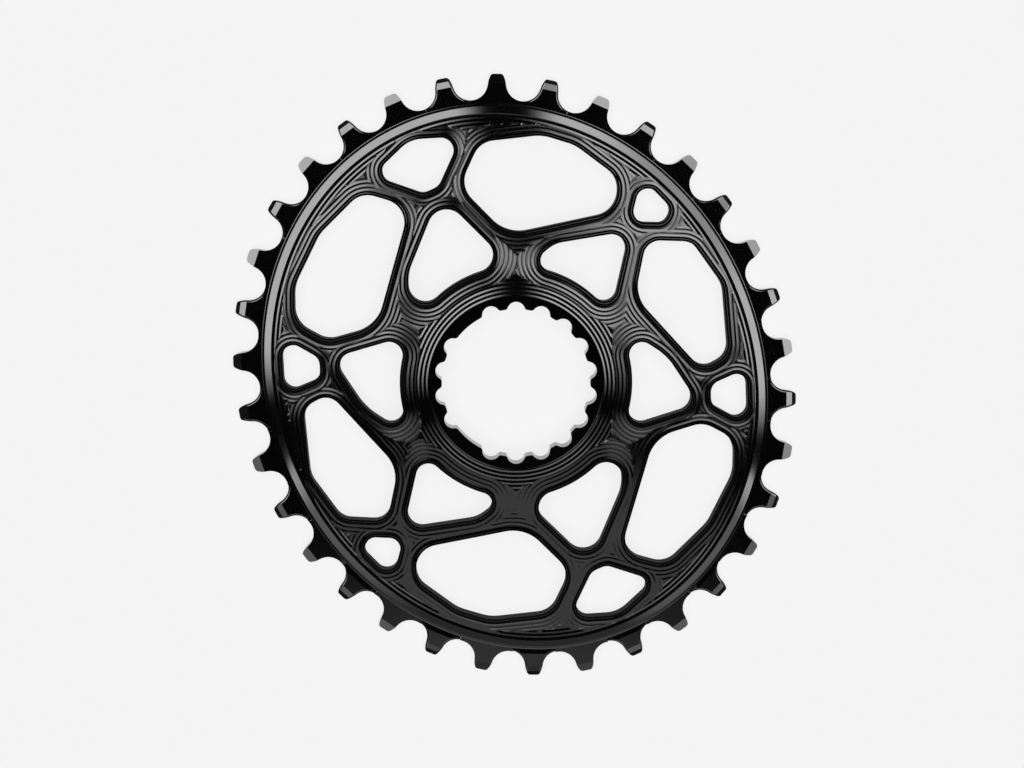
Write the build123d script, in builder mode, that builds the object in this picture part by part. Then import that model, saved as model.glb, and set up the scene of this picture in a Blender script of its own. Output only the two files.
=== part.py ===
from build123d import *
import os
from math import cos, hypot, pi, radians, sin, tan

# Driving dimensions, in millimetres and degrees. Z is 0 on the back face, where the ring lies flat,
# and the bore axis is the Z axis.

# Tooth ring
chain_pitch = 12.7
tooth_count = 34
oval_ratio = 1.122
oval_angle = 113.7
seat_radius = 4.2
seat_end_angle = 84.0
tip_height = 2.2
tip_width = 2.7
wide_tooth_thickness = 3.7
narrow_tooth_thickness = 2.1
wide_tip_thickness = 1.7
narrow_tip_thickness = 1.1
narrow_bevel_start = -0.2
narrow_pocket_start = -4.95
narrow_pocket_length = 10.6

# Rim and dished web
rim_band_start = 5.6
rim_band_end = 7.55
rim_height = 4.75
hub_height = 9.0
hub_flat_radius = 24.2
hub_radius = 27.85
hub_back_height = 3.1

# Splined bore
bore_radius = 17.8
spline_pitch_radius = 17.4
spline_lobe_radius = 2.15
spline_tip_radius = 0.8
spline_positions = 18
spline_start_angle = 10.0
spline_blank_angles = (130.0, 230.0)
recess_radius = 20.9
recess_depth = 0.9

# Room that a cutting tool runs past a face
cut_margin = 2.0

# Windows of one half of the web; the other half repeats them half a turn further round.
# A corner is its angle, its reach from the hub edge (0) to the rim edge (1), and its corner radius.
# A side that ends at a negative reach runs into the hub: its radius rounds the corner at the hub edge.
big_windows = [
    [(93.5, 0.21, 9.0), (59.5, 0.615, 6.0), (63.5, 0.83, 5.5), (76.0, 0.895, 11.0), (84.0, 0.895, 10.5),
     (98.5, 0.82, 5.5), (106.0, 0.56, 6.0)],
    [(129.0, 0.835, 5.5), (143.0, 0.88, 9.0), (156.5, 0.90, 9.0), (165.0, 0.84, 6.0), (167.5, 0.58, 6.0),
     (158.0, 0.245, 9.0), (121.0, 0.57, 5.5)],
    [(47.5, 0.60, 4.0), (36.0, 0.245, 8.5), (3.5, 0.565, 4.0), (7.0, 0.795, 4.5), (25.0, 0.92, 7.0),
     (38.5, 0.875, 4.5)],
]
hub_windows = [
    [(88.5, -0.045, 4.2), (112.0, 0.55, 4.5), (134.5, 0.245, 10.0), (161.0, -0.03, 4.0)],
    [(89.5, -0.045, 2.7), (32.5, -0.05, 3.0), (53.0, 0.565, 3.5), (74.5, 0.20, 7.0)],
    [(152.5, -0.045, 3.2), (172.5, 0.54, 3.5), (190.0, 0.30, 16.0), (217.0, -0.045, 3.0)],
]
rim_windows = [
    [(102.5, 0.87, 3.0), (113.5, 0.945, 7.5), (122.0, 0.88, 2.4), (123.0, 0.805, 2.6), (116.0, 0.60, 3.0),
     (111.5, 0.60, 3.5)],
    [(169.0, 0.935, 2.8), (183.0, 0.925, 2.7), (179.0, 0.625, 2.9), (173.0, 0.63, 2.9)],
    [(58.5, 0.935, 2.8), (54.5, 0.615, 2.7), (47.0, 0.795, 2.5), (48.0, 0.915, 2.5)],
]
# Radius of such a side's end inside the hub, which the hub edge cuts off
hub_end_radius = 0.5
# Share of a side that a rounded corner may take up, and share of the rest that one at the hub edge may
corner_share = 0.49
hub_corner_share = 0.95


def oval_point(turn, major, minor):
    """Point of an ellipse about the origin, with its long axis along X."""
    return Vector(major * cos(turn), minor * sin(turn))


def next_seat(turn, major, minor):
    """Ellipse parameter one chain pitch further round."""
    step = chain_pitch / major
    for _ in range(12):
        chord = (oval_point(turn + step, major, minor) - oval_point(turn, major, minor)).length
        step *= chain_pitch / chord
    return turn + step


def seat_turns(major, minor):
    """Ellipse parameters of the roller seats, from the short axis, with the closing one last."""
    turns = [pi / 2]
    for _ in range(tooth_count):
        turns.append(next_seat(turns[-1], major, minor))
    return turns


def pitch_oval():
    """Semi-axes of the ellipse on which the chain's rollers close up after the last tooth."""
    minor = chain_pitch * tooth_count / (pi * (1 + oval_ratio))
    for _ in range(12):
        turns = seat_turns(minor * oval_ratio, minor)
        minor *= (turns[-1] - turns[0]) / (2 * pi)
    return minor * oval_ratio, minor


pitch_major, pitch_minor = pitch_oval()
oval_plane = Plane.XY.rotated((0, 0, oval_angle))
dish_radius = pitch_minor - rim_band_end
hollow_radius = pitch_minor - rim_band_start
through_plane = Plane.XY.offset(-cut_margin)
through_length = hub_height + 2 * cut_margin


def oval_inset(height, inset):
    """Ellipse inside the pitch oval, as a sketch at a height."""
    with BuildSketch(oval_plane.offset(height)) as oval:
        Ellipse(pitch_major - inset, pitch_minor - inset)
    return oval.sketch


def disc(height, radius):
    """Circle about the bore axis, as a sketch at a height."""
    with BuildSketch(oval_plane.offset(height)) as circle:
        Circle(radius)
    return circle.sketch


def web_point(angle, reach):
    """Point of the web, at a share of the way from the hub edge to the rim edge."""
    major = pitch_major - rim_band_end
    minor = pitch_minor - rim_band_end
    turn = radians(angle - oval_angle)
    rim_radius = major * minor / hypot(minor * cos(turn), major * sin(turn))
    radius = hub_radius + reach * (rim_radius - hub_radius)
    return Vector(radius * cos(radians(angle)), radius * sin(radians(angle)))


def corner_radius(before, corner, after, radius):
    """Radius of a corner, held to what its shorter side has room for."""
    turn = pi - radians((before - corner).get_angle(after - corner))
    side = min((before - corner).length, (after - corner).length)
    return min(radius, corner_share * side / tan(turn / 2))


def hub_corner_radius(opening, hub_end, radius):
    """Radius of a corner at the hub edge, held to the straight side that runs out from it."""
    side = opening.edges().filter_by(GeomType.LINE).sort_by_distance(hub_end)[0]
    far_end = side.vertices().sort_by_distance(hub_end)[-1].center()
    along = (far_end - hub_end.center()).normalized()
    inward = Vector(-along.Y, along.X)
    if inward.dot(opening.center() - far_end) < 0:
        inward = inward * -1
    room = (far_end.length**2 - hub_radius**2) / (2 * (hub_radius - far_end.dot(inward)))
    return min(radius, hub_corner_share * room)


def window(corners):
    """One window of the web, with rounded corners, kept outside the hub."""
    points = [web_point(angle, reach) for angle, reach, _ in corners]
    radii = []
    for index, (_, reach, radius) in enumerate(corners):
        after = points[(index + 1) % len(points)]
        wanted = radius if reach > 0 else hub_end_radius
        radii.append(corner_radius(points[index - 1], points[index], after, wanted))
    with BuildSketch() as opening:
        with BuildLine():
            FilletPolyline(*points, radius=radii, close=True)
        make_face()
        Circle(hub_radius, mode=Mode.SUBTRACT)
        for point, (_, reach, radius) in zip(points, corners):
            if reach < 0:
                hub_end = opening.vertices().sort_by_distance(point)[0]
                fillet(hub_end, hub_corner_radius(opening.sketch, hub_end, radius))
    return opening.sketch


half_windows = [window(corners) for corners in big_windows + hub_windows + rim_windows]
windows = half_windows + [opening.rotate(Axis.Z, 180) for opening in half_windows]

# Outline of the teeth: seat arcs joined by tips, each tip square to the chord between its two seats
turns = seat_turns(pitch_major, pitch_minor)[:-1]
seats = [oval_point(turn, pitch_major, pitch_minor) for turn in turns]
seat_across = seat_radius * sin(radians(seat_end_angle))
seat_down = seat_radius * cos(radians(seat_end_angle))
teeth = []
for index, seat in enumerate(seats):
    chord = seats[(index + 1) % tooth_count] - seat
    along = chord.normalized()
    outward = Vector(along.Y, -along.X)
    teeth.append((seat, along, outward, seat + chord / 2))

with BuildSketch(oval_plane) as tooth_outline:
    with BuildLine():
        for index, (seat, along, outward, middle) in enumerate(teeth):
            before = teeth[index - 1]
            seat_start = seat - before[1] * seat_across - before[2] * seat_down
            seat_end = seat + along * seat_across - outward * seat_down
            bottom = seat - (outward + before[2]).normalized() * seat_radius
            ThreePointArc(seat_start, bottom, seat_end)
            tip_start = middle + outward * tip_height - along * (tip_width / 2)
            tip_end = middle + outward * tip_height + along * (tip_width / 2)
            rise = along * seat_down + outward * seat_across
            TangentArc(seat_end, tip_start, tangent=rise)
            Line(tip_start, tip_end)
            next_seat_start = seats[(index + 1) % tooth_count] - along * seat_across - outward * seat_down
            fall = along * -seat_down + outward * seat_across
            TangentArc(next_seat_start, tip_end, tangent=fall)
    make_face()

# Side relief of the teeth, as distance out from the chord and half thickness: the wide ones are bevelled
# towards the tip, the narrow ones are milled thin from below the roots and then bevelled
wide_profile = [(0, wide_tooth_thickness / 2), (tip_height, wide_tip_thickness / 2)]
narrow_profile = [
    (narrow_pocket_start, narrow_tooth_thickness / 2),
    (narrow_bevel_start, narrow_tooth_thickness / 2),
    (tip_height, narrow_tip_thickness / 2),
]


def relief(profile):
    """Section of the cut beside a tooth, on both its faces, with X outward from the tooth's chord."""
    beyond = tip_height + cut_margin
    above = wide_tooth_thickness / 2 + cut_margin
    with BuildSketch() as cut:
        with BuildLine():
            Polyline(*profile, (beyond, profile[-1][1]), (beyond, above), (profile[0][0], above), close=True)
        make_face()
        mirror(about=Plane.XZ)
    return cut.sketch


def relief_plane(tooth, length):
    """Plane square to a tooth's chord, where a cut of a length starts."""
    _, along, outward, middle = tooth
    start = oval_plane.from_local_coords(middle + along * (length / 2))
    return Plane(
        origin=start + Vector(0, 0, wide_tooth_thickness / 2),
        x_dir=oval_plane.from_local_coords(outward),
        z_dir=oval_plane.from_local_coords(along) * -1,
    )


with BuildPart() as tooth_relief:
    for tooth in teeth[0::2]:
        with BuildSketch(relief_plane(tooth, narrow_pocket_length)):
            add(relief(narrow_profile))
    extrude(amount=narrow_pocket_length)
    for tooth in teeth[1::2]:
        with BuildSketch(relief_plane(tooth, chain_pitch)):
            add(relief(wide_profile))
    extrude(amount=chain_pitch)


with BuildPart() as chainring:
    add(tooth_outline.sketch)
    extrude(amount=wide_tooth_thickness)
    add(tooth_relief.part, mode=Mode.SUBTRACT)
    # Bevelled oval band inside the teeth, and the web, which is turned to a dish that rises to the hub
    loft([oval_inset(wide_tooth_thickness, rim_band_start), oval_inset(rim_height, rim_band_end)], ruled=True)
    loft([disc(rim_height, dish_radius), disc(hub_height, hub_flat_radius)], ruled=True)
    # Hollow of the back, turned from the rim to the hub
    loft([disc(0, hollow_radius), disc(hub_back_height, hub_radius)], ruled=True, mode=Mode.SUBTRACT)

    # Windows through the web
    with BuildSketch(through_plane):
        add(windows)
    extrude(amount=through_length, mode=Mode.SUBTRACT)

    # Splined bore, with two positions left blank, and the round recess in front of it
    with BuildSketch(through_plane) as bore:
        Circle(bore_radius)
        for position in range(spline_positions):
            angle = spline_start_angle + position * 360 / spline_positions
            if angle not in spline_blank_angles:
                with PolarLocations(spline_pitch_radius, 1, angle):
                    Circle(spline_lobe_radius)
        fillet(bore.vertices(), spline_tip_radius)
    extrude(amount=through_length, mode=Mode.SUBTRACT)
    add(disc(hub_height - recess_depth, recess_radius))
    extrude(amount=recess_depth + cut_margin, mode=Mode.SUBTRACT)

chainring.part.label = "chainring"
os.makedirs("parts", exist_ok=True)
export_step(chainring.part, "parts/chainring.step")
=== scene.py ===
from math import acos, atan2, cos, hypot, pi, radians, sin, sqrt, tan

import bpy
import numpy as np
from mathutils import Matrix, Vector
from mathutils.geometry import delaunay_2d_cdt


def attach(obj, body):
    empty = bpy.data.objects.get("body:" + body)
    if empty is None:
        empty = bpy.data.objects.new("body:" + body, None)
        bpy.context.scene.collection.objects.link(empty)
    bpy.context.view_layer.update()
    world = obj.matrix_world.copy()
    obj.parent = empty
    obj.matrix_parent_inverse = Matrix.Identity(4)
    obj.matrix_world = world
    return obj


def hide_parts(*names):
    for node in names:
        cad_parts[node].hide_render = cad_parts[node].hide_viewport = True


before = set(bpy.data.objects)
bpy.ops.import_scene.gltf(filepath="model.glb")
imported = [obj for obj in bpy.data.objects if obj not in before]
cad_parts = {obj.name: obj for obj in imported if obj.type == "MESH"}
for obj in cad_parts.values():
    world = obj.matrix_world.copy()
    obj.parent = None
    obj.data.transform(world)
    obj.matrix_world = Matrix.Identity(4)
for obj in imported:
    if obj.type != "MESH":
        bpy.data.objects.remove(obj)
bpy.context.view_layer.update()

MM = 0.001

# Sizes of the solid, in millimetres and degrees
CHAIN_PITCH = 12.7
TOOTH_COUNT = 34
OVAL_RATIO = 1.122
OVAL_ANGLE = radians(113.7)
SEAT_RADIUS = 4.2
SEAT_END = radians(84.0)
TIP_HEIGHT = 2.2
TIP_WIDTH = 2.7
RING_THICKNESS = 3.7
POCKET_START = -4.95
POCKET_HALF = 5.3
BAND_END = 7.55
HOLLOW_START = 5.6
HUB_HEIGHT = 9.0
HUB_RADIUS = 27.85
HUB_BACK_HEIGHT = 3.1
BORE_RADIUS = 17.8
LOBE_PITCH_RADIUS = 17.4
LOBE_RADIUS = 2.15
LOBE_TIP_RADIUS = 0.8
LOBE_POSITIONS = 18
LOBE_START = 10.0
LOBE_BLANKS = (130.0, 230.0)
RECESS_RADIUS = 20.9
RECESS_DEPTH = 0.9

# Windows of one half of the web: each corner is its angle, its reach from hub to rim, and its radius.
# A side with a negative reach runs into the hub. All outlines run anticlockwise.
WINDOWS = [
    [(93.5, 0.21, 9.0), (59.5, 0.615, 6.0), (63.5, 0.83, 5.5), (76.0, 0.895, 11.0), (84.0, 0.895, 10.5),
     (98.5, 0.82, 5.5), (106.0, 0.56, 6.0)],
    [(129.0, 0.835, 5.5), (143.0, 0.88, 9.0), (156.5, 0.90, 9.0), (165.0, 0.84, 6.0), (167.5, 0.58, 6.0),
     (158.0, 0.245, 9.0), (121.0, 0.57, 5.5)],
    [(47.5, 0.60, 4.0), (36.0, 0.245, 8.5), (3.5, 0.565, 4.0), (7.0, 0.795, 4.5), (25.0, 0.92, 7.0),
     (38.5, 0.875, 4.5)],
    [(88.5, -0.045, 4.2), (112.0, 0.55, 4.5), (134.5, 0.245, 10.0), (161.0, -0.03, 4.0)],
    [(32.5, -0.05, 3.0), (53.0, 0.565, 3.5), (74.5, 0.20, 7.0), (89.5, -0.045, 2.7)],
    [(152.5, -0.045, 3.2), (172.5, 0.54, 3.5), (190.0, 0.30, 16.0), (217.0, -0.045, 3.0)],
    [(102.5, 0.87, 3.0), (113.5, 0.945, 7.5), (122.0, 0.88, 2.4), (123.0, 0.805, 2.6), (116.0, 0.60, 3.0),
     (111.5, 0.60, 3.5)],
    [(169.0, 0.935, 2.8), (183.0, 0.925, 2.7), (179.0, 0.625, 2.9), (173.0, 0.63, 2.9)],
    [(58.5, 0.935, 2.8), (54.5, 0.615, 2.7), (47.0, 0.795, 2.5), (48.0, 0.915, 2.5)],
]

# Milling lines beyond the window borders, as shares of a pass's width and heights. The tool has left passes
# side by side round the windows. The rim and the hub have turned lines, whose steep sides face outwards.
PASS_WIDTH = 1.0
PASS_COUNT = 7
PASS_PROFILE = [(0.0, 0.0), (0.36, -0.043), (0.45, -0.049), (0.55, -0.049), (0.64, -0.043), (1.0, 0.0)]
RIM_PROFILE = [(0.0, 0.0), (0.62, -0.09), (1.0, 0.0)]
HUB_PROFILE = [(0.0, 0.0), (0.38, -0.09), (1.0, 0.0)]
RIM_PASSES_START = 7.58
HUB_PASSES_START = 21.17

# Sunk border of two grooves round each window, as distance from the window and height
BORDER = 1.12
BORDER_RIDGE = (0.52, 0.58)
BORDER_PROFILE = [(0.0, -0.70), (0.27, -0.96), (BORDER_RIDGE[0], -0.70), (BORDER_RIDGE[1], -0.70),
                  (0.84, -0.96), (1.06, -0.62), (BORDER, 0.0)]

# Bevelled oval band between teeth and web, as inset from the pitch oval and height
BAND_PROFILE = [(5.10, RING_THICKNESS), (5.20, 3.725), (5.75, 3.74), (5.92, 3.83), (6.40, 4.09),
                (6.95, 4.395), (7.40, 4.642), (RIM_PASSES_START, 4.612)]

# Faces of the teeth, as distance out from the chord and half thickness
THINNEST_HALF = 0.10
WIDE_PROFILE = [(0.0, RING_THICKNESS / 2), (TIP_HEIGHT, 0.42)]
NARROW_TIP = 1.25
NARROW_PROFILE = [(POCKET_START, 0.93), (-3.5, 1.05), (-0.2, 1.05), (NARROW_TIP, 0.16),
                  (TIP_HEIGHT, THINNEST_HALF)]
POCKET_INSET = 5.05
TIP_CORNER = 0.55

# Chamfered edge of the narrow teeth, as distance in from the edge and drop
NARROW_CHAMFER = 0.33
NARROW_EDGE = [(0.0, 0.40), (NARROW_CHAMFER, 0.04), (0.47, 0.0)]
EDGE_TAPER = 2.0

# Half lengths of the lines where tooth faces bend, and both ends of a pocket's side, out from the chord
FACE_LINE_HALF = 3.4
TIP_LINE_HALF = 3.0
POCKET_SIDE = (-3.4, -5.2)

# Radii of the lines that divide the slope of the back
BACK_CIRCLES = (34.0, 41.0, 48.0)

# Fineness of the mesh: slanted stand-in for an upright step, spacing of points and smallest sizes
WALL = 0.06
STRAIGHT_STEP = 2.6
ROUND_STEP = 0.9
ROUND_TURN = radians(10)
SMALLEST_RADIUS = 0.1
LEAST_ARC_POINTS = 3
BEND_POINTS = 5
OVAL_POINTS = 320
POINT_GAP = 0.01
MERGE_GAP = 0.012
SMALLEST_AREA = 1e-7
SHARP_ANGLE = radians(10)

# Searches: rounds, ranges, how far they look round a window, and points handled at a time
SEAT_ROUNDS = 12
OVAL_HALVINGS = 40
CUT_HALVINGS = 12
INSET_LEVELS = (-50.0, 6.0)
SLOPE_LEVELS = (-0.4, 1.6)
FAR = 50.0
PASS_REACH = 9
WINDOW_MARGIN = 1
CHUNK = 1500


# Plane geometry
def unit(v):
    return v / hypot(*v)


def heading(v):
    return atan2(v[1], v[0])


def spoke(radius, angle):
    return np.array([radius * cos(angle), radius * sin(angle)])


def arc_points(center, radius, first, last):
    turn = min(ROUND_TURN, ROUND_STEP / max(radius, SMALLEST_RADIUS))
    count = max(LEAST_ARC_POINTS, int(np.ceil(abs(last - first) / turn)) + 1)
    angles = np.linspace(first, last, count)
    return center + radius * np.stack([np.cos(angles), np.sin(angles)], -1)


def straight_points(begin, end):
    """Points between two ends, without the ends."""
    count = int(hypot(*(end - begin)) // STRAIGHT_STEP)
    share = (np.arange(count) + 1)[:, None] / (count + 1)
    return begin + (end - begin) * share


def tangent_arc(begin, direction, end):
    """Arc that leaves a point in a direction and ends at another point."""
    side = np.array([-direction[1], direction[0]])
    chord = end - begin
    radius = chord @ chord / (2 * (chord @ side))
    center = begin + radius * side
    sweep = 2 * atan2(chord @ side, chord @ direction)
    first = heading(begin - center)
    return arc_points(center, abs(radius), first, first + sweep)


def rounded_corner(before, corner, after, size):
    """Bend from one side of a corner to the other."""
    begin = corner + unit(before - corner) * size
    end = corner + unit(after - corner) * size
    share = np.linspace(0, 1, BEND_POINTS)[:, None]
    return (1 - share) ** 2 * begin + 2 * share * (1 - share) * corner + share ** 2 * end


# Teeth, on the oval on which the chain's rollers close up
def oval_point(turn, major, minor):
    return np.array([major * cos(turn), minor * sin(turn)])


def seat_turns(major, minor):
    """Turns of the roller seats along an oval, one chain pitch apart."""
    turns = [pi / 2]
    for _ in range(TOOTH_COUNT):
        step = CHAIN_PITCH / major
        for _ in range(SEAT_ROUNDS):
            chord = oval_point(turns[-1] + step, major, minor) - oval_point(turns[-1], major, minor)
            step *= CHAIN_PITCH / hypot(*chord)
        turns.append(turns[-1] + step)
    return turns


def pitch_oval():
    """Half axes of the oval on which the last seat meets the first."""
    minor = CHAIN_PITCH * TOOTH_COUNT / (pi * (1 + OVAL_RATIO))
    for _ in range(SEAT_ROUNDS):
        turns = seat_turns(minor * OVAL_RATIO, minor)
        minor *= (turns[-1] - turns[0]) / (2 * pi)
    return minor * OVAL_RATIO, minor


MAJOR, MINOR = pitch_oval()
TURN = np.array([spoke(1, OVAL_ANGLE), spoke(1, OVAL_ANGLE + pi / 2)]).T
seats = [TURN @ oval_point(turn, MAJOR, MINOR) for turn in seat_turns(MAJOR, MINOR)]
along = np.array([unit(b - a) for a, b in zip(seats, seats[1:])])
outward = np.stack([along[:, 1], -along[:, 0]], -1)
middles = np.array([(a + b) / 2 for a, b in zip(seats, seats[1:])])


def tooth_point(index, across, out):
    return middles[index] + along[index] * across + outward[index] * out


def tooth_flank(index, side):
    """Half a tooth, from the bottom of a seat to the middle of the tip; side is -1 or 1."""
    seat = seats[index] if side < 0 else seats[index + 1]
    neighbour = (index + side) % TOOTH_COUNT
    bottom = heading(-unit(outward[index] + outward[neighbour]))
    away = along[index] * -side
    end = seat + SEAT_RADIUS * (away * sin(SEAT_END) - outward[index] * cos(SEAT_END))
    sweep = (heading(end - seat) - bottom + pi) % (2 * pi) - pi
    seat_arc = arc_points(seat, SEAT_RADIUS, bottom, bottom + sweep)
    corner = tooth_point(index, side * TIP_WIDTH / 2, TIP_HEIGHT)
    rise = tangent_arc(end, away * cos(SEAT_END) + outward[index] * sin(SEAT_END), corner)
    rise = rise[np.hypot(*(rise - corner).T) > TIP_CORNER]
    bend = rounded_corner(rise[-1], corner, tooth_point(index, 0, TIP_HEIGHT), TIP_CORNER)
    return np.vstack([seat_arc[:-1], rise, bend])


def tooth_edge(index):
    """Outline of one tooth, anticlockwise round the ring."""
    return np.vstack([tooth_flank(index, -1), tooth_flank(index, 1)[::-1][:-1]])


# Openings, as arcs joined by straight sides: centre, radius, first and last angle.
# A negative radius marks a hollow arc, whose centre lies in the metal.
def web_point(angle, reach):
    turn = radians(angle) - OVAL_ANGLE
    major, minor = MAJOR - BAND_END, MINOR - BAND_END
    rim = major * minor / hypot(minor * cos(turn), major * sin(turn))
    return spoke(HUB_RADIUS + reach * (rim - HUB_RADIUS), radians(angle))


def forward(first, last):
    return first, first + (last - first) % (2 * pi)


def backward(first, last):
    return first, first - (first - last) % (2 * pi)


def corner_arc(before, corner, after, radius):
    u, w = unit(before - corner), unit(after - corner)
    half = acos(u @ w) / 2
    center = corner + unit(u + w) * radius / sin(half)
    reach = radius / tan(half)
    first, last = heading(corner + u * reach - center), heading(corner + w * reach - center)
    return center, radius, *forward(first, last)


def hub_corner_arc(hub_end, far_end, radius, leaving):
    """Rounded corner between the hub edge and a side that leaves the hub or comes back to it."""
    direction = unit(far_end - hub_end)
    side = np.array([-direction[1], direction[0]]) * (1 if leaving else -1)
    foot = hub_end - (hub_end @ direction) * direction
    run = sqrt((HUB_RADIUS + radius) ** 2 - (hub_end @ side + radius) ** 2)
    center = foot + run * direction + radius * side
    on_side, on_hub = heading(-side), heading(-center)
    return center, radius, *(forward(on_hub, on_side) if leaving else forward(on_side, on_hub))


def window_arcs(corners):
    points = [web_point(angle, reach) for angle, reach, _ in corners]
    arcs = []
    for index, (_, reach, radius) in enumerate(corners):
        before, here, after = points[index - 1], points[index], points[(index + 1) % len(points)]
        if reach > 0:
            arcs.append(corner_arc(before, here, after, radius))
        elif index == 0:
            arcs.append(hub_corner_arc(here, after, radius, True))
        else:
            arcs.append(hub_corner_arc(here, before, radius, False))
            arcs.append((np.zeros(2), -HUB_RADIUS, *backward(heading(arcs[-1][0]), heading(arcs[0][0]))))
    return arcs


def half_turn(arcs):
    return [(-center, radius, first + pi, last + pi) for center, radius, first, last in arcs]


def bore_arcs():
    tip_ring = BORE_RADIUS + LOBE_TIP_RADIUS
    tip_gap = LOBE_RADIUS + LOBE_TIP_RADIUS
    squares = tip_ring ** 2 + LOBE_PITCH_RADIUS ** 2 - tip_gap ** 2
    spread = acos(squares / (2 * tip_ring * LOBE_PITCH_RADIUS))
    angles = [LOBE_START + k * 360 / LOBE_POSITIONS for k in range(LOBE_POSITIONS)]
    angles = [radians(a) for a in angles if a not in LOBE_BLANKS]
    arcs = []
    for here, following in zip(angles, angles[1:] + [angles[0] + 2 * pi]):
        lobe = spoke(LOBE_PITCH_RADIUS, here)
        first_tip, last_tip = spoke(tip_ring, here - spread), spoke(tip_ring, here + spread)
        arcs.append((first_tip, -LOBE_TIP_RADIUS, *backward(here - spread + pi, heading(lobe - first_tip))))
        arcs.append((lobe, LOBE_RADIUS, *forward(heading(first_tip - lobe), heading(last_tip - lobe))))
        arcs.append((last_tip, -LOBE_TIP_RADIUS, *backward(heading(lobe - last_tip), here + spread + pi)))
        arcs.append((np.zeros(2), BORE_RADIUS, here + spread, following - spread))
    return arcs


def outline(arcs, distance=0.0):
    """Closed outline at a distance outside an opening."""
    pieces = []
    for index, (center, radius, first, last) in enumerate(arcs):
        stretch = arc_points(center, abs(radius + distance), first, last)
        following = arcs[(index + 1) % len(arcs)]
        ahead = following[0] + spoke(abs(following[1] + distance), following[2])
        pieces += [stretch, straight_points(stretch[-1], ahead)]
    points = np.vstack(pieces)
    return points[np.hypot(*(points - np.roll(points, 1, 0)).T) > POINT_GAP]


def oval_line(inset):
    turns = np.linspace(0, 2 * pi, OVAL_POINTS, endpoint=False)
    return np.stack([(MAJOR - inset) * np.cos(turns), (MINOR - inset) * np.sin(turns)], -1) @ TURN.T


def circle_line(radius):
    return arc_points(np.zeros(2), radius, 0, 2 * pi)[:-1]


window_shapes = [window_arcs(corners) for corners in WINDOWS]
window_shapes += [half_turn(arcs) for arcs in window_shapes]
window_lines = [outline(arcs) for arcs in window_shapes]
bore_line = outline(bore_arcs())
tooth_line = np.vstack([tooth_edge(index) for index in range(TOOTH_COUNT)])


# Distances
def outline_distance(points, line):
    """Distance of points to a closed outline, negative inside it."""
    a, b = line, np.roll(line, -1, 0)
    ab = b - a
    length = (ab ** 2).sum(1)
    result = np.empty(len(points))
    for start in range(0, len(points), CHUNK):
        p = points[start:start + CHUNK, None]
        share = np.clip(((p - a) * ab).sum(2) / length, 0, 1)
        near = np.sqrt(((a + share[..., None] * ab - p) ** 2).sum(2).min(1))
        crosses = (a[:, 1] > p[..., 1]) != (b[:, 1] > p[..., 1])
        with np.errstate(divide="ignore", invalid="ignore"):
            x = a[:, 0] + (p[..., 1] - a[:, 1]) * ab[:, 0] / ab[:, 1]
        inside = (crosses & (p[..., 0] < x)).sum(1) % 2 == 1
        result[start:start + CHUNK] = np.where(inside, -near, near)
    return result


def near_box(points, line, margin):
    return ((points > line.min(0) - margin) & (points < line.max(0) + margin)).all(1)


def oval_level(points, start, growth, low, high):
    """Level of the growing ellipse that passes through each point."""
    local = points @ TURN
    low, high = np.full(len(points), low), np.full(len(points), high)
    for _ in range(OVAL_HALVINGS):
        level = (low + high) / 2
        axes = np.array(start) + np.array(growth) * level[:, None]
        outside = ((local / axes) ** 2).sum(1) > 1
        low, high = np.where(outside, level, low), np.where(outside, high, level)
    return (low + high) / 2


def oval_inset(points):
    return -oval_level(points, (MAJOR, MINOR), (1, 1), *INSET_LEVELS)


def slope_share(points, radius, inset):
    """Share of the way from a circle round the hub to an oval at an inset."""
    growth = (MAJOR - inset - radius, MINOR - inset - radius)
    return np.clip(oval_level(points, (radius, radius), growth, *SLOPE_LEVELS), 0, 1)


# Families of milling lines: one for each window, then the rim and the hub
RIM, HUB = len(window_shapes), len(window_shapes) + 1


def pass_depths(points):
    """How far each point lies inside the passes of every window, of the rim and of the hub."""
    rows = np.full((HUB + 1, len(points)), FAR)
    for row, line in zip(rows, window_lines):
        near = near_box(points, line, PASS_REACH)
        row[near] = outline_distance(points[near], line) - BORDER
    rows[RIM] = oval_inset(points) - RIM_PASSES_START
    rows[HUB] = np.hypot(*points.T) - HUB_PASSES_START
    return rows


def pass_levels(profile):
    """Distances of the bends of all passes from where the passes start."""
    return [PASS_WIDTH * (k + share) for k in range(PASS_COUNT) for share, _ in profile[:-1]]


# Lines of the drawings, each with a mark that says whether it is closed
def owned_lines(line, family, level):
    """Stretches of a closed line where no other family of passes comes first."""
    def lead(points):
        rows = pass_depths(points)
        rows[family] = FAR
        return rows.min(0) - level
    gain = lead(line)
    if (gain >= 0).all():
        return [(line, True)]
    change = np.where((gain >= 0) != (np.roll(gain, -1) >= 0))[0]
    begin, step = line[change], np.roll(line, -1, 0)[change] - line[change]
    starts_in = gain[change] >= 0
    low, high = np.zeros(len(change)), np.ones(len(change))
    for _ in range(CUT_HALVINGS):
        share = (low + high) / 2
        same = (lead(begin + step * share[:, None]) >= 0) == starts_in
        low, high = np.where(same, share, low), np.where(same, high, share)
    ends = begin + step * low[:, None]
    stretches = []
    for k in np.where(~starts_in)[0]:
        following = (k + 1) % len(change)
        first = change[k] + 1
        run = np.arange(first, first + (change[following] - change[k]) % len(line)) % len(line)
        stretches.append((np.vstack([ends[k], line[run], ends[following]]), False))
    return stretches


def inward(line, distance):
    """Stretch of the tooth edge moved into the metal, without points that come too close to the edge."""
    run = np.gradient(line, axis=0)
    moved = line + np.stack([-run[:, 1], run[:, 0]], -1) / np.hypot(*run.T)[:, None] * distance
    return moved[-outline_distance(moved, tooth_line) > distance - POINT_GAP]


def cross_line(index, half, out):
    """Line across a tooth."""
    return np.array([tooth_point(index, -half, out), tooth_point(index, half, out)])


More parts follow.
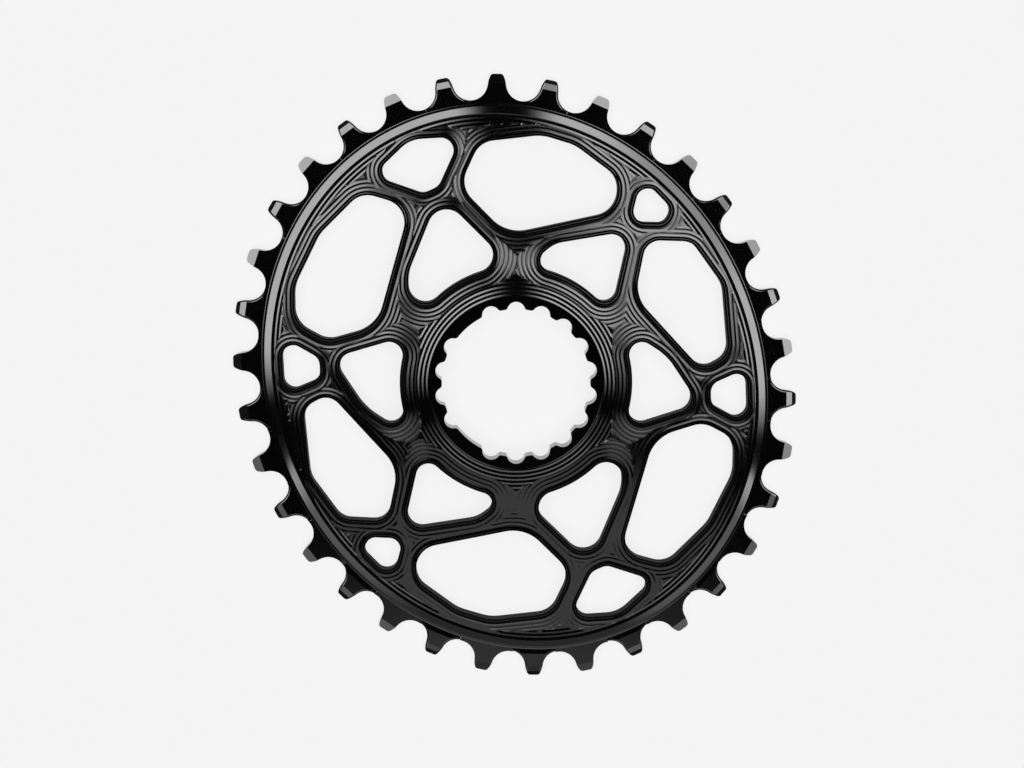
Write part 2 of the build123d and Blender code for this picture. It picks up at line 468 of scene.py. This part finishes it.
def tooth_lines(index):
    """Lines where the faces of one tooth bend."""
    if index % 2:
        return [cross_line(index, FACE_LINE_HALF, 0)]
    halves = (POCKET_HALF, FACE_LINE_HALF, TIP_LINE_HALF)
    lines = [cross_line(index, half, out) for (out, _), half in zip(NARROW_PROFILE[1:-1], halves)]
    for across in (-POCKET_HALF, WALL - POCKET_HALF, POCKET_HALF - WALL, POCKET_HALF):
        lines.append(np.array([tooth_point(index, across, out) for out in POCKET_SIDE]))
    edge = tooth_edge(index)
    in_pocket = np.abs((edge - middles[index]) @ along[index]) < POCKET_HALF
    return lines + [inward(edge[in_pocket], distance) for distance, _ in NARROW_EDGE[1:]]


edges = [(tooth_line, True), (bore_line, True)] + [(line, True) for line in window_lines]
teeth = [(line, False) for index in range(TOOTH_COUNT) for line in tooth_lines(index)]
teeth += [(oval_line(inset), True) for inset in (POCKET_INSET, POCKET_INSET - WALL)]

back_lines = edges + teeth + [(oval_line(HOLLOW_START), True), (circle_line(HUB_RADIUS), True)]
back_lines += [(circle_line(radius), True) for radius in BACK_CIRCLES]

front_lines = edges + teeth
front_lines += [(oval_line(inset), True) for inset, _ in BAND_PROFILE]
front_lines += [(circle_line(radius), True) for radius in (RECESS_RADIUS, RECESS_RADIUS - WALL)]
for family, arcs in enumerate(window_shapes):
    front_lines += [(outline(arcs, distance), True) for distance, _ in BORDER_PROFILE[1:]]
    for level in pass_levels(PASS_PROFILE)[1:]:
        front_lines += owned_lines(outline(arcs, BORDER + level), family, level)
for level in pass_levels(RIM_PROFILE):
    front_lines += owned_lines(oval_line(RIM_PASSES_START + level), RIM, level)
for level in pass_levels(HUB_PROFILE):
    front_lines += owned_lines(circle_line(HUB_PASSES_START + level), HUB, level)


# Heights
def table(values, pairs):
    return np.interp(values, *np.array(pairs).T)


def tooth_frame(points):
    """Whether the nearest tooth is narrow, and each point's place across it and out from its chord."""
    nearest = ((points[:, None] - middles) ** 2).sum(2).argmin(1)
    offset = points - middles[nearest]
    across = np.abs((offset * along[nearest]).sum(1))
    return nearest % 2 == 0, across, (offset * outward[nearest]).sum(1)


def tooth_half(points):
    """Half thickness of the tooth ring."""
    is_narrow, across, out = tooth_frame(points)
    edge = -outline_distance(points, tooth_line)
    room = np.clip(np.minimum(POCKET_INSET - oval_inset(points), POCKET_HALF - across) / WALL, 0, 1)
    taper = np.clip((POCKET_HALF - across) / EDGE_TAPER, 0, 1)
    thin = np.maximum(table(out, NARROW_PROFILE) - table(edge, NARROW_EDGE) * taper, THINNEST_HALF)
    full = RING_THICKNESS / 2
    return np.where(is_narrow, full + (thin - full) * room, table(out, WIDE_PROFILE))


def relief(points):
    """Depth of the milling lines of the web."""
    rows = pass_depths(points)
    owner, depth = rows.argmin(0), rows.min(0)
    share = np.mod(depth / PASS_WIDTH, 1)
    turned = np.where(owner == RIM, table(share, RIM_PROFILE), table(share, HUB_PROFILE))
    passes = np.where(owner < RIM, table(share, PASS_PROFILE), turned)
    border = table(depth + BORDER, BORDER_PROFILE)
    return np.where((owner < RIM) & (depth < 0), border, passes)


def front_height(points):
    inset, radius = oval_inset(points), np.hypot(*points.T)
    rim_inset, rim_height = BAND_PROFILE[-1]
    height = np.full(len(points), HUB_HEIGHT - RECESS_DEPTH)
    toothed = inset < BAND_PROFILE[0][0]
    height[toothed] = RING_THICKNESS / 2 + tooth_half(points[toothed])
    band = ~toothed & (inset < rim_inset + WALL / 2)
    height[band] = table(inset[band], BAND_PROFILE)
    web = ~toothed & ~band & (radius > RECESS_RADIUS - WALL / 2)
    rise = 1 - slope_share(points[web], RECESS_RADIUS, rim_inset)
    height[web] = rim_height + (HUB_HEIGHT - rim_height) * rise + relief(points[web])
    return height


def back_height(points):
    height = HUB_BACK_HEIGHT * (1 - slope_share(points, HUB_RADIUS, HOLLOW_START))
    toothed = oval_inset(points) < HOLLOW_START
    height[toothed] = RING_THICKNESS / 2 - tooth_half(points[toothed])
    return height


def dull_and_shaded_front(points):
    """Whether each point lies on a groove of a border, or on a chamfer or the tip of a narrow tooth, where
    the metal is rougher and painted shade turns its reflection down.
    """
    rows = pass_depths(points)
    distance = rows.min(0) + BORDER
    on_ridge = (distance > BORDER_RIDGE[0]) & (distance < BORDER_RIDGE[1])
    border = (rows.argmin(0) < RIM) & (distance < BORDER) & ~on_ridge
    is_narrow, across, out = tooth_frame(points)
    near_edge = outline_distance(points, tooth_line) > -NARROW_CHAMFER
    pocket = is_narrow & (across < POCKET_HALF) & (oval_inset(points) < POCKET_INSET)
    return border | (pocket & (near_edge | (out > NARROW_TIP)))


# Mesh: front and back are triangulated drawings that are lifted to their heights and joined by walls
def triangulate(lines):
    points, links = [], []
    for line, is_closed in lines:
        first, last = len(points), len(points) + len(line) - 1
        points += [Vector(p) for p in line]
        links += [(k, k + 1) for k in range(first, last)]
        if is_closed:
            links.append((last, first))
    drawn = delaunay_2d_cdt(points, links, [], 0, MERGE_GAP)
    flat, faces = np.array([tuple(p) for p in drawn[0]]), np.array(drawn[2])
    centers = flat[faces].mean(1)
    keep = (outline_distance(centers, tooth_line) < 0) & (outline_distance(centers, bore_line) > 0)
    for line in window_lines:
        near = np.where(near_box(centers, line, WINDOW_MARGIN))[0]
        keep[near[outline_distance(centers[near], line) < 0]] = False
    a, b, c = (flat[faces[:, k]] for k in range(3))
    area = (b[:, 0] - a[:, 0]) * (c[:, 1] - a[:, 1]) - (b[:, 1] - a[:, 1]) * (c[:, 0] - a[:, 0])
    faces[area < 0] = faces[area < 0][:, ::-1]
    return flat, faces[keep & (np.abs(area) > SMALLEST_AREA)]


def wall(line, base, outer):
    """Upright faces along an outline, whose front points start at an index and whose back points follow."""
    here = np.arange(len(line))
    there = np.roll(here, -1)
    low = len(line)
    lower_half = np.stack([here, low + here, low + there], -1)
    upper_half = np.stack([here, low + there, there], -1)
    faces = np.vstack([lower_half, upper_half])
    return base + (faces if outer else faces[:, ::-1])


front, front_faces = triangulate(front_lines)
back, back_faces = triangulate(back_lines)
points = [np.column_stack([front, front_height(front)]), np.column_stack([back, back_height(back)])]
faces = [front_faces, back_faces[:, ::-1] + len(front)]
# Faces with painted shade: rougher, with weak reflection, on the border grooves, the narrow teeth's chamfers
# and tips, and the window walls
dull_and_shaded = [dull_and_shaded_front(front[front_faces].mean(1)), np.zeros(len(back_faces))]
base = len(front) + len(back)
for line, _ in edges:
    is_window = line is not tooth_line and line is not bore_line
    sides = wall(line, base, line is tooth_line)
    points += [np.column_stack([line, front_height(line)]), np.column_stack([line, back_height(line)])]
    faces.append(sides)
    dull_and_shaded.append(np.full(len(sides), is_window))
    base += 2 * len(line)
points, faces, dull_and_shaded = np.vstack(points), np.vstack(faces), np.concatenate(dull_and_shaded)

mesh = bpy.data.meshes.new("ring")
mesh.from_pydata((points * MM).tolist(), [], faces.tolist())
mesh.polygons.foreach_set("use_smooth", np.ones(len(faces), bool))
mesh.set_sharp_from_angle(angle=SHARP_ANGLE)
# Face attribute that marks the faces with painted shade
mesh.attributes.new("dull_and_shaded", "FLOAT", "FACE").data.foreach_set("value", dull_and_shaded)
mesh.update()
ring = bpy.data.objects.new("ring", mesh)
bpy.context.scene.collection.objects.link(ring)


# Shader nodes
def add_node(tree, kind, **settings):
    node = tree.nodes.new(kind)
    for name, value in settings.items():
        setattr(node, name, value)
    return node


def fill_socket(tree, socket, value):
    if isinstance(value, bpy.types.NodeSocket):
        tree.links.new(value, socket)
    else:
        socket.default_value = value


def calc(tree, operation, *values):
    node = add_node(tree, "ShaderNodeMath", operation=operation)
    for socket, value in zip(node.inputs, values):
        fill_socket(tree, socket, value)
    return node.outputs[0]


def ramp(tree, value, low, high, bottom=0.0, top=1.0):
    """Smooth step from one value to another."""
    node = add_node(tree, "ShaderNodeMapRange", interpolation_type="SMOOTHSTEP")
    for socket, entry in zip(node.inputs, (value, low, high, bottom, top)):
        fill_socket(tree, socket, entry)
    return node.outputs[0]


# Material: black anodised metal, with roughness and specular level of its bright faces and of its dull faces
# with painted shade.
# The border grooves, the walls of the windows, and the chamfers and tips of the narrow teeth are rougher,
# and their reflection is turned down as painted shade.
BLACK = (0.0015, 0.0015, 0.0016, 1)
ROUGHNESS = (0.09, 0.6)
SPECULAR = (1.0, 0.05)
black = bpy.data.materials.new("black_anodised")
black.use_nodes = True
tree = black.node_tree
metal = tree.nodes["Principled BSDF"]
metal.inputs["Base Color"].default_value = BLACK
# Painted shade: the marked faces get a higher roughness and a far lower specular level
dull_and_shade_level = add_node(tree, "ShaderNodeAttribute", attribute_name="dull_and_shaded").outputs["Fac"]
fill_socket(tree, metal.inputs["Roughness"], ramp(tree, dull_and_shade_level, 0.0, 1.0, *ROUGHNESS))
fill_socket(tree, metal.inputs["Specular IOR Level"], ramp(tree, dull_and_shade_level, 0.0, 1.0, *SPECULAR))
mesh.materials.append(black)
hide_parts("chainring")
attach(ring, "root")

# Floor: pale, partly lit from inside so that it stays even, with a soft shadow
WHITE = (1, 1, 1, 1)
PAPER_GREY = (0.2, 0.2, 0.2, 1)
PAPER_GLOW = 0.78
FLOOR_HALF = 3
FLOOR_DROP = 0.05 * MM
floor_corners = [(-FLOOR_HALF, -FLOOR_HALF), (FLOOR_HALF, -FLOOR_HALF), (FLOOR_HALF, FLOOR_HALF),
                 (-FLOOR_HALF, FLOOR_HALF)]
floor_mesh = bpy.data.meshes.new("floor")
floor_mesh.from_pydata([(x, y, -FLOOR_DROP) for x, y in floor_corners], [], [(0, 1, 2, 3)])
floor = bpy.data.objects.new("floor", floor_mesh)
bpy.context.scene.collection.objects.link(floor)
paper = bpy.data.materials.new("paper")
paper.use_nodes = True
tree = paper.node_tree
sheet = tree.nodes["Principled BSDF"]
sheet.inputs["Base Color"].default_value = PAPER_GREY
sheet.inputs["Roughness"].default_value = 1.0
sheet.inputs["Specular IOR Level"].default_value = 0.0
sheet.inputs["Emission Color"].default_value = WHITE
sheet.inputs["Emission Strength"].default_value = PAPER_GLOW
floor_mesh.materials.append(paper)

# Light overhead, for the floor: the metal doesn't mirror it
LIGHT_SIZE = 3.0
LIGHT_ENERGY = 60.0
LIGHT_HEIGHT = 2.5
overhead = bpy.data.objects.new("overhead", bpy.data.lights.new("overhead", "AREA"))
overhead.data.size = LIGHT_SIZE
overhead.data.energy = LIGHT_ENERGY
overhead.location = (0, 0, LIGHT_HEIGHT)
overhead.visible_glossy = False
overhead.visible_camera = False
bpy.context.scene.collection.objects.link(overhead)

# Studio that the metal mirrors: places overhead are given as run across and run up per height.
# An edge is the two places between which a light changes, levels are its strengths at them, and a slope
# tilts the edge.
LOWEST_RAY = 0.05
BACKDROP = 0.913

# Dark round the camera, and panels to the right and to the left of it, brighter further out
CAMERA_PLACE = (0.02, -0.14)
DARK_DISC_EDGE = (0.18, 0.28)
PANEL_EDGE, PANEL_LEVELS = (0.5, 0.8), (4.4, 4.8)
RIGHT_INNER_SLOPE, RIGHT_INNER_EDGE = -0.216, (-0.06, 0.24)
RIGHT_LOWER_SLOPE, RIGHT_LOWER_EDGE = 0.233, (-0.13, 0.36)
LEFT_INNER_EDGE = (-0.03, -0.30)
LEFT_LOWER_SLOPE, LEFT_LOWER_EDGE = -0.236, (-0.14, 0.32)
LEFT_OUTER_SLOPE, LEFT_OUTER_EDGE = 0.9, (-3.2, -2.6)

# Strip of the right panel that is dimmer
STRIP_SLOPE = -0.45
STRIP_LOWER_EDGE, STRIP_UPPER_EDGE = (-0.5, 0.1), (1.1, 0.6)
STRIP_INNER_EDGE = (0.6, 1.0)
STRIP_CHANGE = -0.42

# Fill from below, whose upper edge falls off to both sides, with a streak along that edge
RIGHT_FALL, RIGHT_FALL_END = 0.34, 0.72
LEFT_FALL, LEFT_FALL_END = -0.46, 0.86
FILL_EDGE = (-0.17, -0.30)
LOW_FILL_EDGE, LOW_FILL_LEVELS = (-0.66, -0.86), (0.48, 1.4)
LOW_FILL_END, LOW_FILL_END_LEVELS = (-1.35, -0.95), (0.15, 1.0)
SIDE_FILL_EDGE, SIDE_FILL_LEVELS = (1.1, 1.7), (0.0, 0.75)
STREAK_LOWER_EDGE, STREAK_SIDE_EDGE = (-0.65, -0.35), (1.2, 1.8)
STREAK_LEVEL = 1.8

world = bpy.data.worlds.new("studio")
bpy.context.scene.world = world
world.use_nodes = True
tree = world.node_tree
ray = add_node(tree, "ShaderNodeSeparateXYZ")
tree.links.new(add_node(tree, "ShaderNodeTexCoord").outputs["Generated"], ray.inputs[0])
height = calc(tree, "MAXIMUM", ray.outputs[2], LOWEST_RAY)
across = calc(tree, "DIVIDE", ray.outputs[0], height)
upward = calc(tree, "DIVIDE", ray.outputs[1], height)
outside = calc(tree, "ABSOLUTE", across)


def lean(slope, along_axis, value):
    return calc(tree, "ADD", value, calc(tree, "MULTIPLY", along_axis, slope))


def product(*values):
    result = values[0]
    for value in values[1:]:
        result = calc(tree, "MULTIPLY", result, value)
    return result


aside = calc(tree, "ADD", across, -CAMERA_PLACE[0])
above = calc(tree, "ADD", upward, -CAMERA_PLACE[1])
from_camera = calc(tree, "SQRT", calc(tree, "ADD", product(aside, aside), product(above, above)))
dark_disc = ramp(tree, from_camera, *DARK_DISC_EDGE)
right_panel = product(ramp(tree, lean(RIGHT_INNER_SLOPE, upward, across), *RIGHT_INNER_EDGE),
                      ramp(tree, lean(RIGHT_LOWER_SLOPE, across, upward), *RIGHT_LOWER_EDGE))
left_panel = product(ramp(tree, across, *LEFT_INNER_EDGE),
                     ramp(tree, lean(LEFT_LOWER_SLOPE, across, upward), *LEFT_LOWER_EDGE),
                     ramp(tree, lean(LEFT_OUTER_SLOPE, upward, across), *LEFT_OUTER_EDGE))
strip_place = lean(STRIP_SLOPE, across, upward)
strip = product(ramp(tree, strip_place, *STRIP_LOWER_EDGE), ramp(tree, strip_place, *STRIP_UPPER_EDGE),
                ramp(tree, across, *STRIP_INNER_EDGE), STRIP_CHANGE)
right_panel = product(right_panel, calc(tree, "ADD", strip, 1.0))
panels = product(calc(tree, "ADD", right_panel, left_panel), dark_disc,
                 ramp(tree, from_camera, *PANEL_EDGE, *PANEL_LEVELS))

right_fall = calc(tree, "MINIMUM", calc(tree, "MULTIPLY", across, RIGHT_FALL), RIGHT_FALL_END)
left_fall = calc(tree, "MINIMUM", calc(tree, "MULTIPLY", across, LEFT_FALL), LEFT_FALL_END)
below = calc(tree, "ADD", upward, calc(tree, "MAXIMUM", right_fall, left_fall))
low_fill = product(ramp(tree, upward, *LOW_FILL_EDGE, *LOW_FILL_LEVELS),
                   ramp(tree, upward, *LOW_FILL_END, *LOW_FILL_END_LEVELS))
fill = calc(tree, "ADD", low_fill, ramp(tree, outside, *SIDE_FILL_EDGE, *SIDE_FILL_LEVELS))
streak = product(ramp(tree, below, *STREAK_LOWER_EDGE), ramp(tree, outside, *STREAK_SIDE_EDGE), STREAK_LEVEL)
low_light = product(ramp(tree, below, *FILL_EDGE), calc(tree, "ADD", fill, streak))
studio = calc(tree, "ADD", panels, low_light)

path = add_node(tree, "ShaderNodeLightPath")
seen = calc(tree, "MULTIPLY", path.outputs["Is Camera Ray"], BACKDROP)
mirrored = calc(tree, "MULTIPLY", path.outputs["Is Glossy Ray"], studio)
background = tree.nodes["Background"]
fill_socket(tree, background.inputs["Strength"], calc(tree, "ADD", seen, mirrored))
background.inputs["Color"].default_value = WHITE

# Camera, as fitted to the photograph
FOCAL_PIXELS = 2160.6
IMAGE_WIDTH, IMAGE_HEIGHT = 1024, 768
CENTER_PIXEL = (515.62, 379.81)
CAMERA_DISTANCE = 0.523
CAMERA_RISE, CAMERA_SWING = radians(7.59), radians(-1.20)
SENSOR_WIDTH = 36
CLIP_START = 0.01
lens = bpy.data.cameras.new("camera")
lens.sensor_width = SENSOR_WIDTH
lens.lens = FOCAL_PIXELS / IMAGE_WIDTH * SENSOR_WIDTH
lens.shift_x = (IMAGE_WIDTH / 2 - CENTER_PIXEL[0]) / IMAGE_WIDTH
lens.shift_y = (CENTER_PIXEL[1] - IMAGE_HEIGHT / 2) / IMAGE_WIDTH
lens.clip_start = CLIP_START
camera = bpy.data.objects.new("camera", lens)
bpy.context.scene.collection.objects.link(camera)
back_axis = Vector((sin(CAMERA_SWING) * cos(CAMERA_RISE), sin(CAMERA_RISE),
                    cos(CAMERA_RISE) * cos(CAMERA_SWING)))
right_axis = Vector((cos(CAMERA_SWING), 0, -sin(CAMERA_SWING)))
axes = Matrix((right_axis, back_axis.cross(right_axis), back_axis)).transposed()
target = Vector((0, 0, RING_THICKNESS / 2 * MM))
camera.matrix_world = Matrix.Translation(target + back_axis * CAMERA_DISTANCE) @ axes.to_4x4()
bpy.context.scene.camera = camera
bpy.context.scene.view_settings.view_transform = "Standard"
